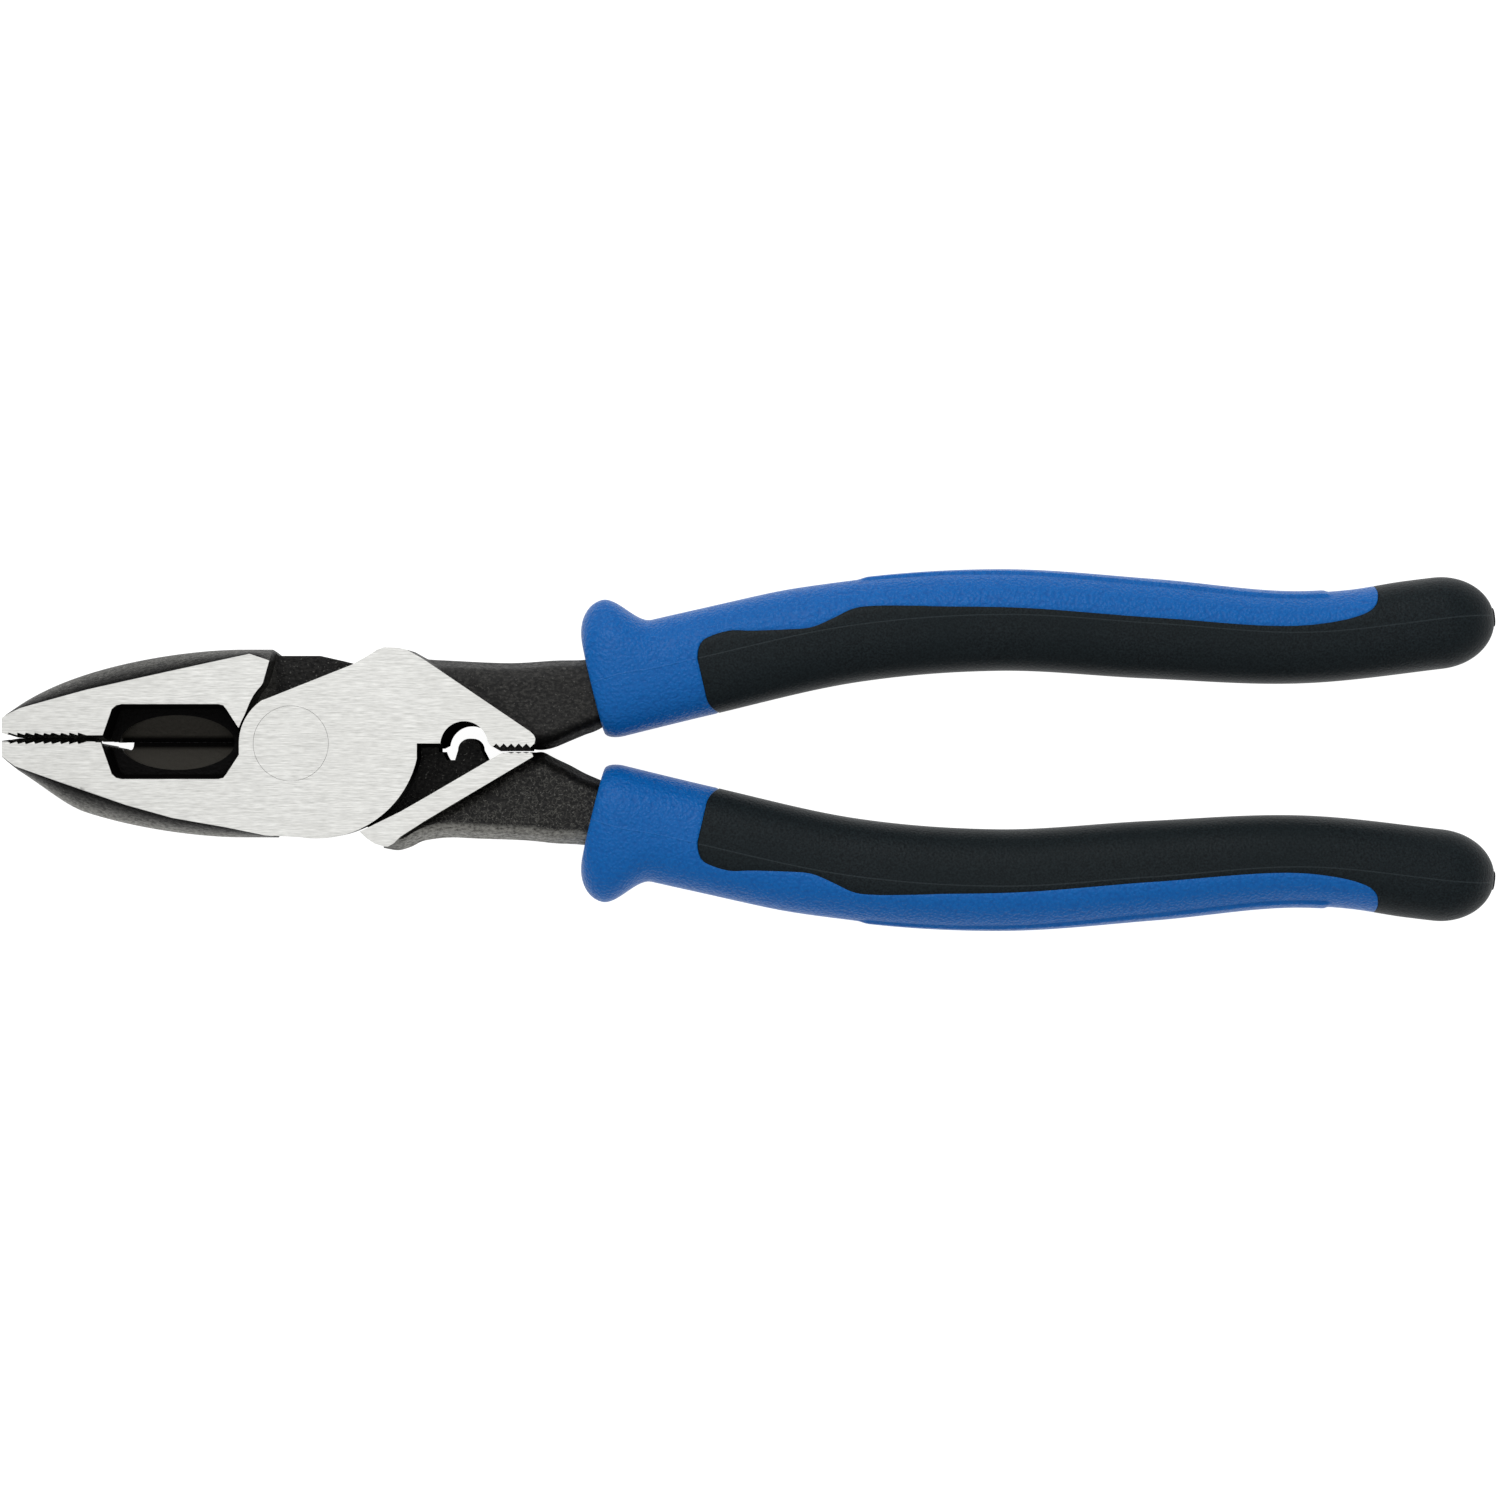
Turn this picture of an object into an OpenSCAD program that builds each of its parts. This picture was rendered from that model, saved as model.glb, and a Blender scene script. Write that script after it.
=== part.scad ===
// Side-cutting lineman pliers with a tape-pulling slot and a crimping nest.
// They lie flat and closed. The origin is where the pivot's axis meets the underside.
// +X runs along the handles, -X along the jaws, and +Z is the pivot's axis.
// The lower jaw, the front plate and the upper handle are one forging.
// The upper jaw, the back plate and the lower handle are the other.

/* [Head] */
// Thickness of the head between its two ground faces
head_t = 16; // [14:0.5:18]
// Half of the head's width across its forged sides
head_half_w = 15.2; // [15:0.1:16]
// Distance from the pivot to the ends of the jaws
jaw_reach = 46.4; // [45.8:0.1:47]
// Thickness of the forged waist on the mid-plane of the jaws
waist_t = 3; // [1:0.5:6]

/* [Joint] */
// Radius of the rivet
rivet_r = 6; // [5:0.1:6.5]
// Radial running clearance round the rivet in the turning half
rivet_play = 0.05; // [0.02:0.01:0.1]
// Gap between the two lapped plates
lap_gap = 0.1; // [0.05:0.01:0.2]
// Radius of the round boss of each plate
boss_r = 8.3; // [7.8:0.1:8.4]
// Clearance between a plate's edge and the other half
edge_gap = 0.35; // [0.25:0.05:0.5]

/* [Jaws] */
// Height of the plane where the gripping faces meet
grip_line_y = 0.8; // [0.6:0.05:0.9]
// Gap left between the closed gripping faces and cutters
bite_gap = 0.1; // [0.04:0.02:0.16]
// Distance between two teeth of the jaws
tooth_pitch = 1.38; // [1.2:0.01:1.5]
// Depth of the teeth of the jaws
tooth_d = 0.5; // [0.3:0.05:0.6]
// Depth of the cutter recess, from a ground face to the rim of the hollow grind
recess_d = 4.5; // [3.5:0.25:5]

/* [Crimper] */
// Radius of the crimping nest
nest_r = 3.8; // [3.5:0.1:4]
// Radius of the crimping nib
nib_r = 1.9; // [1.6:0.1:2]
// Distance between two of the crimper's fine teeth
fine_pitch = 1.2; // [1.1:0.01:1.3]

/* [Grips] */
// Half of the thickness of the grips
grip_half_t = 7.7; // [7:0.1:8]
// How far the thumb guard stands out past the grip
guard_rise = 5; // [3:0.25:6]
// Thickness of the coloured overmould
cover_t = 1.5; // [1:0.1:2]
// Length of the grips along the handles
grip_l = 146; // [140:1:150]
// Length of the tang inside each grip
tang_l = 125; // [80:5:130]
// Angle by which the lower handle is bent in towards the upper one
lower_toe = 0.25; // [0:0.05:0.5]

/* [Hidden] */
$fn = 64;

steel = [0.82, 0.82, 0.80];
forged = [0.17, 0.16, 0.15];
blue = [0.10, 0.33, 0.68];
black = [0.13, 0.15, 0.16];

mid_z = head_t / 2;
eps = 0.01;
handle_axis_y = -1.2;
split_x = -30;
cutter_y = 0.15;

// Slopes at which the two jaws' tips part
lower_flare = 0.21;
upper_flare = 0.34;

// ---- Curves ----

// Points of an arc, from angle a0 to angle a1
function arc(c, r, a0, a1, n) =
    [for (i = [0:n]) c + r * [cos(a0 + (a1 - a0) * i / n), sin(a0 + (a1 - a0) * i / n)]];

function flip(points) = [for (p = points) [p[0], -p[1]]];

// Smooth curve through evenly spaced values, at position t counted in spacings
function smooth(values, t) =
    let (i = max(1, min(len(values) - 3, floor(t))), u = t - i,
         a = values[i - 1], b = values[i], c = values[i + 1], d = values[i + 2])
    b + 0.5 * u * (c - a + u * (2 * a - 5 * b + 4 * c - d + u * (3 * (b - c) + d - a)));

function blend(a, b, u) = a + (b - a) * max(0, min(1, u));

// ---- Head outlines ----

// Half-width of the forged head at x, on its mid-plane
head_waist_x = -9;
head_nose_l = jaw_reach - 6.9;
function head_w(x) =
    x > head_waist_x ? head_half_w
    : head_half_w * sqrt(max(0, 1 - pow((head_waist_x - x) / head_nose_l, 1.7)));

// How much narrower than the upper one the lower jaw is at its nose, and where that starts
lower_slim = 1.7;
slim_x = -34;
slim_l = 10;

// Forged side of a jaw on the mid-plane, from just past the nose to the joint
side_n = 14;
function forged_side(x_end, slim) =
    let (x0 = -jaw_reach - 0.2)
    [for (i = [0:side_n])
        let (x = blend(x0, x_end, i / side_n), u = max(0, min(1, (slim_x - x) / slim_l)))
        [x, head_w(x) - slim * u * u * (3 - 2 * u)]];

// Ground face of each jaw, from the nose to the joint
lower_face = [[-jaw_reach, 0.4], [-jaw_reach, -1.9], [-44.1, -3.6], [-34.7, -6.8], [-26.4, -9.7],
              [-19, -11.8], [-10.6, -13.3], [-4, -14.7], [-2, -14.9], [-2, 0.4]];
upper_face = [[-jaw_reach, 1.2], [-jaw_reach, 3.9], [-45.7, 4.5], [-43.3, 5.6], [-32.6, 8.5],
              [-6.6, 14.3], [-3.2, 13.1], [-2, 12.7], [-2, 1.2]];

// Rim of a plate, round the joint
rim_c = [4.15, 1.2];
rim_r = 16.4;
// The back plate's rim is ground off on the far side from its handle
back_rim = [[-20, 14.2], [3.8, 14.2], [6.9, 13.5], [9.3, 12.9], [16, 10.6]];

// The upper edge of the front plate and its ground shoulder above the crimper
plate_top = [[-4.1, boss_r * 0.83], [9.9, 12.65], [12.6, 14.2], [15, 15.3], [18.5, 15], [21, 13.6],
             [38.7, 1.6], [39.1, 0.8], [38.95, 0], [38.4, -0.62]];
// The edge that faces the other half, and where its fine teeth start
crimp_edge = [[32.3, -0.62], [31.8, -0.2], [31.4, 0.4], [30, 0], [20.5, 0]];
fine_teeth = [32.2, -0.62];
fine_n = 5;
fine_d = 0.45;
nest_c = [27.7, -0.25];

// Ground strip of a handle beside the rim of the other half's plate
strip_y = -1.38;
strip = [[11.3, -14.1], [17.5, -10.9], [33.5, -1.62], [34.2, strip_y], [38, strip_y], [38.7, -1.9],
         [21.4, -12.4], [17.5, -14.9], [15.8, -16.4], [14.4, -16.4], [12.6, -15.4]];
// What is ground off the back plate beside the crimper
back_clear = [[20, -0.15], [22.7, -0.15], [22.7, strip_y], [50, strip_y], [50, 30], [20, 30]];

// Region that a half leaves clear beside the other half's plate, from the boss outwards
boss_clear = [[-8.4, 2.1], [-7.5, 4.3], [-6.5, 6.7], [-5.3, 8.6], [-4.45, 9.7], [-3.45, 13.2],
              [-3.2, 20], [60, 20], [60, -25], [-3, -25], [-7.9, -4]];

// ---- Head ----

module slab(z0, z1) {
    translate([0, 0, z0]) linear_extrude(z1 - z0) children();
}

// Body of a jaw: its ground faces, swelling to the forged side on the mid-plane
module jaw_body(face, side) {
    hull() {
        slab(0, head_t) polygon(face);
        slab(mid_z - waist_t / 2, mid_z + waist_t / 2) polygon(side);
    }
}

// Row of saw teeth along +X, cut upwards from y = 0
module teeth_2d(count, pitch, depth) {
    for (i = [0:count - 1])
        translate([i * pitch, 0])
            polygon([[0, -depth], [pitch, -depth], [pitch, 0], [pitch / 2, depth], [0, 0]]);
}

// What is cut from both jaws: the recess and the hollow grind on one face
module cutter_recess() {
    floor_z = head_t - recess_d;
    hull() {
        slab(head_t, head_t + 1) recess_rim();
        slab(floor_z, floor_z + eps) scale([0.93, 0.85]) recess_rim();
    }
    hull() {
        slab(floor_z, floor_z + 2 * eps) scale([0.82, 0.72]) recess_rim();
        slab(mid_z + 0.6, mid_z + 0.6 + eps) square([17, 0.3], center = true);
    }
}

module recess_rim() {
    polygon([[-11.4, 0.2], [-9.5, 5.2], [-7.9, 6], [7.7, 6], [8.7, 5.3], [10.8, 2.1],
             [10.8, -2.1], [8.7, -5.3], [7.7, -6], [-7.9, -6], [-9.5, -5.2]]);
}

module both_faces() {
    children();
    translate([0, 0, mid_z]) mirror([0, 0, 1]) translate([0, 0, -mid_z]) children();
}

recess_x = -19.1;
recess_y = 0.3;
teeth_x = -45.1;
teeth_z = 4;
teeth_n = 9;

// Teeth on both faces of the gripping edge of a jaw; side is 1 above the line, -1 below
module jaw_teeth(side) {
    both_faces()
        slab(head_t - teeth_z, head_t + 1)
            translate([teeth_x, grip_line_y + side * tooth_d])
                scale([1, side]) teeth_2d(teeth_n, tooth_pitch, tooth_d);
}

// Everything on one side of the line along which the jaws close; the tips flare apart by a slope
module bite_2d(side, slope) {
    gap = bite_gap / 2;
    flare_x = -44.2;
    flare_l = 3;
    heel_x = -3;
    far_y = 40 * side;
    polygon([[flare_x - flare_l, grip_line_y + side * (gap + flare_l * slope)],
             [flare_x, grip_line_y + side * gap], [split_x, grip_line_y + side * gap],
             [split_x + 1, cutter_y + side * gap], [heel_x, cutter_y + side * gap],
             [heel_x, far_y], [flare_x - flare_l, far_y]]);
}

// Tape slot through the lower jaw, in front of the cutters
module tape_slot() {
    slab(-1, head_t + 1) polygon([[-30.3, 1], [-30.3, 0], [-26.3, -1.15], [-25.9, -0.6], [-25.9, 1]]);
}

// Rim, boss and shoulder of a plate: the front plate as it lies
module plate_2d() {
    circle(boss_r);
    polygon(concat(plate_top, crimp_edge, arc(rim_c, rim_r, -9, -99, 24),
                   [[-4, -14.7], [-boss_r, -9], [-boss_r, -2]]));
}

// Part of a half's handle that fills the other layer, beyond the other plate's rim
module lap_relief_2d() {
    translate([rim_c[0], -rim_c[1]]) circle(rim_r + edge_gap);
    translate([-40, -40]) square([50, 80]);
}

// Room that a half leaves for the other half's plate as it turns, from y_min upwards beside the boss
module plate_room_2d(y_min) {
    intersection() {
        polygon(boss_clear);
        translate([-20, -30]) square([40, 60]);
        union() {
            translate([-20, y_min]) square([33, 60]);
            translate(rim_c) circle(rim_r + edge_gap);
        }
    }
    circle(boss_r + edge_gap);
}

// Nest and fine teeth cut into the front plate
module crimp_nest_2d() {
    translate(nest_c) circle(nest_r);
    translate(fine_teeth) teeth_2d(fine_n, fine_pitch, fine_d);
}

// Nib that presses into the nest, standing on the back plate
module crimp_nib_2d() {
    nib_c = [28, -1.1];
    translate(nib_c) circle(nib_r);
    polygon([nib_c - [nib_r, 0], [25.4, -3.4], [25.4, -5], [31, -5], [30.6, -3], nib_c + [nib_r, 0]]);
}

module rivet_hole(radius) {
    translate([0, 0, -1]) cylinder(h = head_t + 2, r = radius);
}

// ---- Handles ----

// Centre line of the upper handle: its height over the handles' own axis
grip_x0 = 48.1;
spine_x0 = 16.6;
spine_pitch = 24.3;
spine_heights = [2.4, 8.3, 14.2, 19.4, 21.2, 19.8, 18.4, 20.9, 23.5];
grip_widths = [8.8, 8.7, 8.6, 8.4, 8.25, 8.1, 7.5, 7.45, 7.4];

function spine_y(x) = smooth(spine_heights, (x - spine_x0) / spine_pitch);
function spine_tilt(x) = atan(spine_y(x + 0.5) - spine_y(x - 0.5));
function grip_w(x) = smooth(grip_widths, (x - spine_x0) / spine_pitch);

// One closed ring round the spine at x, with half-widths outwards, inwards and along Z
function ring(x, w_out, w_in, t, angles) =
    let (tilt = spine_tilt(x))
    [for (a = angles)
        let (v = (cos(a) > 0 ? w_out : w_in) * sign(cos(a)) * pow(abs(cos(a)), 0.85),
             z = t * sign(sin(a)) * pow(abs(sin(a)), 0.85))
        [x - v * sin(tilt), spine_y(x) + v * cos(tilt), mid_z + z]];

// Closed solid through rings that all have the same number of points
module skin(rings) {
    n = len(rings[0]);
    last = (len(rings) - 1) * n;
    polyhedron(
        points = [for (r = rings, p = r) p],
        faces = concat(
            [[for (i = [0:n - 1]) i]],
            [[for (i = [0:n - 1]) last + n - 1 - i]],
            [for (k = [0:len(rings) - 2], i = [0:n - 1])
                let (a = k * n + i, b = k * n + (i + 1) % n) [a, a + n, b + n]],
            [for (k = [0:len(rings) - 2], i = [0:n - 1])
                let (a = k * n + i, b = k * n + (i + 1) % n) [a, b + n, b]]));
}

// Places what is made for the upper handle: side is 1 for the upper one, -1 for the lower
module handle(side) {
    toe = side < 0 ? lower_toe : 0;
    translate([grip_x0, handle_axis_y, 0]) rotate([0, 0, toe]) translate([-grip_x0, 0, 0])
        scale([1, side, 1]) children();
}

round_angles = [for (i = [0:23]) i * 15];
tang_angles = [for (i = [0:15]) i * 22.5];

// Neck and tang: outer edge, inner edge and half-thickness of the neck at each x
tang_x0 = 31;
tang_in_grip = 52;
tang_steps = 18;
tang_w0 = 5;
neck_outer = [[31, 14.2], [35, 14.2], [41.8, 14.6], [47.4, 15],
              [tang_in_grip, spine_y(tang_in_grip) + tang_w0]];
neck_inner = [[31, 4.8], [35, 1.9], [39.3, 0.2], [41.8, 0.9], [46.6, 3.1], [49.1, 4.1],
              [tang_in_grip, spine_y(tang_in_grip) - tang_w0]];
function tang_w(x) = blend(tang_w0, 4.2, (x - tang_in_grip) / tang_l);
function tang_outer(x) = x < tang_in_grip ? lookup(x, neck_outer) : spine_y(x) + tang_w(x);
function tang_inner(x) = x < tang_in_grip ? lookup(x, neck_inner) : spine_y(x) - tang_w(x);
function tang_t(x) = blend(5.4, 4.2, (x - tang_x0) / tang_l);

// One upright ring of the tang at x; grow makes the cavity that it fills
function tang_ring(x, grow) =
    let (y_mid = (tang_outer(x) + tang_inner(x)) / 2,
         w = (tang_outer(x) - tang_inner(x)) / 2 + grow, t = tang_t(x) + grow)
    [for (a = tang_angles)
        [x, y_mid + w * sign(cos(a)) * pow(abs(cos(a)), 0.6),
         mid_z + t * sign(sin(a)) * pow(abs(sin(a)), 0.6)]];

// The tang from its root in the head, or only the length of it from station first
module tang(grow, first = 0) {
    pitch = (grip_x0 + tang_l - tang_x0) / tang_steps;
    skin([for (i = [first:tang_steps]) tang_ring(tang_x0 + pitch * i + (i == tang_steps ? grow : 0), grow)]);
}

// Root of the handle, between the ground strip and the tang
module neck() {
    hull() {
        slab(1.2, head_t - 1.2)
            polygon([[14.7, 15.2], [15.5, 15.7], [21, 14.4], [38, 2.8], [32.5, 2.2], [20, 11]]);
        slab(3, head_t - 3) polygon([[17, 15.8], [21, 14.6], [35, 14.2], [35, 2], [31, 3.5]]);
    }
}

// ---- Halves ----

module lower_jaw_half() {
    color(steel) difference() {
        union() {
            intersection() {
                jaw_body(lower_face,
                         concat(flip(forged_side(-2, lower_slim)), [[-2, 0.4], [-jaw_reach, 0.4]]));
                slab(-1, head_t + 1) bite_2d(-1, lower_flare);
            }
            slab(mid_z + lap_gap / 2, head_t) plate_2d();
            slab(0, mid_z + 1) difference() {
                polygon(concat([[11.6, 14.1], [14.4, 15.3]], [for (i = [4:9]) plate_top[i]],
                               crimp_edge, [[16, 8]]));
                lap_relief_2d();
            }
            handle(1) neck();
            handle(1) tang(0);
        }
        slab(-1, mid_z + lap_gap / 2) mirror([0, 1]) plate_room_2d(-30);
        slab(-1, head_t + 1) crimp_nest_2d();
        translate([recess_x, recess_y, 0]) both_faces() cutter_recess();
        jaw_teeth(-1);
        tape_slot();
        rivet_hole(rivet_r);
    }
}

module upper_jaw_half() {
    color(forged) difference() {
        union() {
            intersection() {
                jaw_body(upper_face, concat(forged_side(-2.8, 0), [[-2.8, 1.2], [-jaw_reach, 1.2]]));
                slab(-1, head_t + 1) bite_2d(1, upper_flare);
            }
            slab(0, mid_z - lap_gap / 2) {
                difference() {
                    mirror([0, 1]) plate_2d();
                    polygon(back_clear);
                    polygon(concat(back_rim, [[16, 20], [-20, 20]]));
                    translate(nest_c) circle(nest_r + edge_gap);
                }
                crimp_nib_2d();
                polygon(strip);
            }
            slab(mid_z - 1, head_t) polygon(strip);
            handle(-1) neck();
            handle(-1) tang(0);
        }
        slab(mid_z - lap_gap / 2, head_t + 1) plate_room_2d(-13);
        translate([recess_x, recess_y, 0]) both_faces() cutter_recess();
        jaw_teeth(1);
        rivet_hole(rivet_r + rivet_play);
    }
}

module joint_rivet() {
    color(steel) cylinder(h = head_t, r = rivet_r);
}

// ---- Grips ----

collar_l = 17;
cover_l = 127;
bulb_l = 9;
guard_top = 4.6;
guard_fall = 6.8;

// Half-width of the whole grip on the guard's side, at distance s from its front
function outer_w(s) =
    let (w = grip_w(grip_x0 + s),
         front = sqrt(1 - pow(1 - min(1, s / guard_top), 2)),
         fall = s < guard_top ? 1 : 0.5 + 0.5 * cos(180 * min(1, (s - guard_top) / guard_fall)))
    s < guard_top ? blend(7.5, w + guard_rise, front) : w + guard_rise * fall;
function inner_w(s) =
    blend(7.4, grip_w(grip_x0 + s), sqrt(1 - pow(1 - min(1, s / 3), 2)));
function side_t(s) =
    let (front = sqrt(1 - pow(1 - min(1, s / guard_top), 2)))
    s < guard_top ? blend(6.8, 8, front) : blend(8, grip_half_t, (s - guard_top) / guard_fall);
function bulb(s) =
    s < grip_l - bulb_l ? 1 : sqrt(max(0, 1 - pow((s - grip_l + bulb_l) / bulb_l, 2)));

// Ring of the grip's surface at distance s, sunk by an inset; before the front it keeps the front's size
function grip_ring(s, inset, angles) =
    let (b = bulb(s), f = max(0, s))
    ring(grip_x0 + s, outer_w(f) * b - inset, inner_w(f) * b - inset, side_t(f) * b - inset, angles);

// Half of the angle that the overmould wraps round the grip, past the collar
function cover_angle(s) =
    let (lead = blend(118, 72, sqrt(max(0, (s - collar_l) / 6))),
         tail = 72 * sqrt(max(0.06, 1 - pow(max(0, s - cover_l + 9) / 9, 2))))
    min(lead, tail);

cover_n = 8;
bare_n = 10;
function cover_angles(s) =
    let (a = cover_angle(s)) [for (i = [0:cover_n]) -a + 2 * a * i / cover_n];
function bare_angles(s) =
    let (a = cover_angle(s) + 2) [for (i = [0:bare_n]) a + (360 - 2 * a) * i / bare_n];

// Stations along the overmould past the collar, and along the rest of the grip
cover_stations = concat([0, 0.3, 1, 2.5, 4.5, 7], [for (i = [1:9]) 7 + i * 10],
                        [101, 104, 106.5, 108.5, cover_l - collar_l]);
function cover_s(i) = collar_l + cover_stations[i];
guard_stations = [0, 0.4, 1.2, 2.4, 4.6, 6.3, 8, 9.6, 11.4, collar_l];
core_stations = [0.8, 2.4, 4.6, 6.3, 8, 9.6, 11.4, collar_l + eps];
bulb_stations = [for (i = [0:5]) grip_l - bulb_l + bulb_l * sin(15 * i) - 0.02];

collar_angles = concat(cover_angles(collar_l), bare_angles(collar_l));

// Black sleeve over the tang, sunk where the overmould lies on it
module grip_core() {
    sunk = cover_t + 0.02;
    difference() {
        skin(concat(
            [for (s = core_stations) grip_ring(s, sunk, collar_angles)],
            [for (i = [1:len(cover_stations) - 1]) let (s = cover_s(i))
                concat(grip_ring(s, sunk, cover_angles(s)), grip_ring(s, 0, bare_angles(s)))],
            [for (s = concat([cover_l + 0.3], bulb_stations))
                concat(grip_ring(s, 0, cover_angles(cover_l)), grip_ring(s, 0, bare_angles(cover_l)))]));
        tang(0.02, 2);
    }
}

// Coloured second shot: a collar with the thumb guard, and the cover along the outer side
module grip_overmould() {
    difference() {
        skin([for (s = guard_stations) grip_ring(s, 0, round_angles)]);
        skin(concat([grip_ring(-0.5, cover_t, collar_angles)],
                    [for (s = core_stations) grip_ring(s, cover_t, collar_angles)],
                    [grip_ring(collar_l + 0.5, cover_t, collar_angles)]));
    }
    cover_strip();
}

// Cover along the outer side; its inner faces are split the same way as the core's
module cover_strip() {
    n = cover_n + 1;
    rings = [for (i = [0:len(cover_stations) - 1]) let (s = cover_s(i), a = cover_angles(s))
        concat(grip_ring(s, 0, a), [for (j = [0:cover_n]) grip_ring(s, cover_t, a)[cover_n - j]])];
    m = 2 * n;
    last = (len(rings) - 1) * m;
    polyhedron(
        points = [for (r = rings, p = r) p],
        faces = concat(
            [for (i = [0:n - 2]) [i, i + 1, m - 2 - i, m - 1 - i]],
            [for (i = [0:n - 2]) [last + i, last + m - 1 - i, last + m - 2 - i, last + i + 1]],
            [for (k = [0:len(rings) - 2], i = [0:m - 1])
                let (a = k * m + i, b = k * m + (i + 1) % m) i < n ? [a, a + m, b + m] : [a, a + m, b]],
            [for (k = [0:len(rings) - 2], i = [0:m - 1])
                let (a = k * m + i, b = k * m + (i + 1) % m) i < n ? [a, b + m, b] : [a + m, b + m, b]]));
}

module upper_grip_core() { color(black) handle(1) grip_core(); }
module upper_grip_overmould() { color(blue) handle(1) grip_overmould(); }
module lower_grip_core() { color(black) handle(-1) grip_core(); }
module lower_grip_overmould() { color(blue) handle(-1) grip_overmould(); }

lower_jaw_half();
upper_jaw_half();
joint_rivet();
upper_grip_core();
upper_grip_overmould();
lower_grip_core();
lower_grip_overmould();
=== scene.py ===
"""Looks of the side-cutting lineman pliers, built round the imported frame.

Lengths are in millimetres until a mesh is made. The steel halves are shaped as solids by
distance functions and meshed with their sharp edges kept. The grips are swept surfaces, cut
along the line where the two shots of moulding meet.
"""

import math

import bmesh
import bpy
import mathutils
import numpy as np
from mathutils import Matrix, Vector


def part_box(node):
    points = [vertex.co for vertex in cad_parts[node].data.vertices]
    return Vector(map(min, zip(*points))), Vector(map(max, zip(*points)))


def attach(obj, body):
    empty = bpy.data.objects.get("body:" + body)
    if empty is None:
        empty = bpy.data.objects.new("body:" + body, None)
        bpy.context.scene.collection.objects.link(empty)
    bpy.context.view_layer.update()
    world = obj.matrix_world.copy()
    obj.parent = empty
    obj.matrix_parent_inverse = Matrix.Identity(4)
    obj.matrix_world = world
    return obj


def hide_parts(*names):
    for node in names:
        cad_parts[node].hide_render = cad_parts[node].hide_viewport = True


MM = 0.001
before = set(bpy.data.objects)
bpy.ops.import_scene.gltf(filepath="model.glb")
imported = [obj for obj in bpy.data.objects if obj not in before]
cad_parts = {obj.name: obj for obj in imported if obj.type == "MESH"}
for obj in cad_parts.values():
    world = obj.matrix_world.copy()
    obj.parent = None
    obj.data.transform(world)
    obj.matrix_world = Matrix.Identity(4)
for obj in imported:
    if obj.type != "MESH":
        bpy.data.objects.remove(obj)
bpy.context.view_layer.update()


def size_of(node):
    """Lowest and highest corner of a CAD node, in millimetres."""
    low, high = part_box(node)
    return np.array(low) / MM, np.array(high) / MM


# ---- Sizes taken from the frame ----

_, rivet_high = size_of("joint_rivet")
HEAD_T = float(rivet_high[2])
MID_Z = HEAD_T / 2
RIVET_R = float(rivet_high[0])
JAW_X = float(size_of("lower_jaw_half")[0][0])
GRIP_END = float(size_of("upper_grip_core")[1][0])

# ---- Head sizes ----

BOSS_R = 8.3
LAP_GAP = 0.1
EDGE_GAP = 0.35
RIVET_PLAY = 0.03
BITE_Y = 0.8
BITE_GAP = 0.1
CUTTER_Y = 0.15
CUTTER_X = -31.9
BAND_END_X = -29.0
RIM_C = (4.15, 1.2)
RIM_R = 16.4
BACK_RIM = [(-20, 14.2), (3.8, 14.2), (6.9, 13.5), (9.3, 12.9), (14, 11.3)]
CRIMP_Y = 0.0
CRIMP_TOOTH_Y = -0.62
CRIMP_DEEP_Y = -1.25
STRIP_Y = 1.38
# The back plate's clearances beside the crimper, and where the ledge reaches through to the back
CRIMP_GAP = 0.15
STEP_X = 23.4
STEP_GAP = 0.4
NEST_C = (27.7, -0.25)
NEST_R = 3.8
NIB_C = (28.0, -1.1)
NIB_R = 1.9
TOOTH_X = -45.1
TOOTH_N = 9
TOOTH_PITCH = 1.385
TOOTH_D = 0.44
FINE_X = 32.23
FINE_N = 5
FINE_PITCH = 1.2
CRIMP_FINE_D = 0.62
STRIP_FINE_D = 0.22
RECESS_C = (-19.1, 0.3)
RECESS_FLOOR = 4.5
# Half-axes of the hollow grind
LENS_R = (9.2, 4.4)
MESH_STEP = 0.3

# ---- Handle sizes ----

AXIS_Y = -1.2
LOWER_TOE = math.tan(math.radians(0.25))
GRIP_X0 = 48.1
GRIP_L = GRIP_END - GRIP_X0 - 0.08
SPINE_X0 = 16.6
SPINE_PITCH = 24.3
SPINE_Y = [2.4, 8.3, 14.2, 19.4, 21.2, 19.8, 18.4, 20.9, 23.5, 26.0]
GRIP_W = [8.8, 8.7, 8.6, 8.4, 8.25, 8.1, 7.5, 7.45, 7.4, 7.4]


# ---- Curves ----


def smooth(values, t):
    """Smooth curve through evenly spaced values, at t counted in spacings."""
    v = np.asarray(values, float)
    i = np.clip(np.floor(t).astype(int), 1, len(v) - 3)
    u = t - i
    a, b, c, d = v[i - 1], v[i], v[i + 1], v[i + 2]
    return b + 0.5 * u * (c - a + u * (2 * a - 5 * b + 4 * c - d + u * (3 * (b - c) + d - a)))


def profile(points, x, steps=12):
    """A smooth curve through (x, y) points, read at x."""
    p = np.array(points, float)
    padded = np.vstack([2 * p[0] - p[1], p, 2 * p[-1] - p[-2]])
    t = np.linspace(1, len(p), (len(p) - 1) * steps + 1)
    t[-1] -= 1e-9
    curve_x, curve_y = smooth(padded[:, 0], t), smooth(padded[:, 1], t)
    return np.interp(x, curve_x, curve_y)


def ramp(u):
    """0 to 1 with soft ends."""
    u = np.clip(u, 0, 1)
    return u * u * (3 - 2 * u)


def arc(centre, r, a0, a1, n):
    angles = np.radians(np.linspace(a0, a1, n + 1))
    return [(centre[0] + r * math.cos(a), centre[1] + r * math.sin(a)) for a in angles]


# ---- Distance functions: negative inside ----


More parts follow.
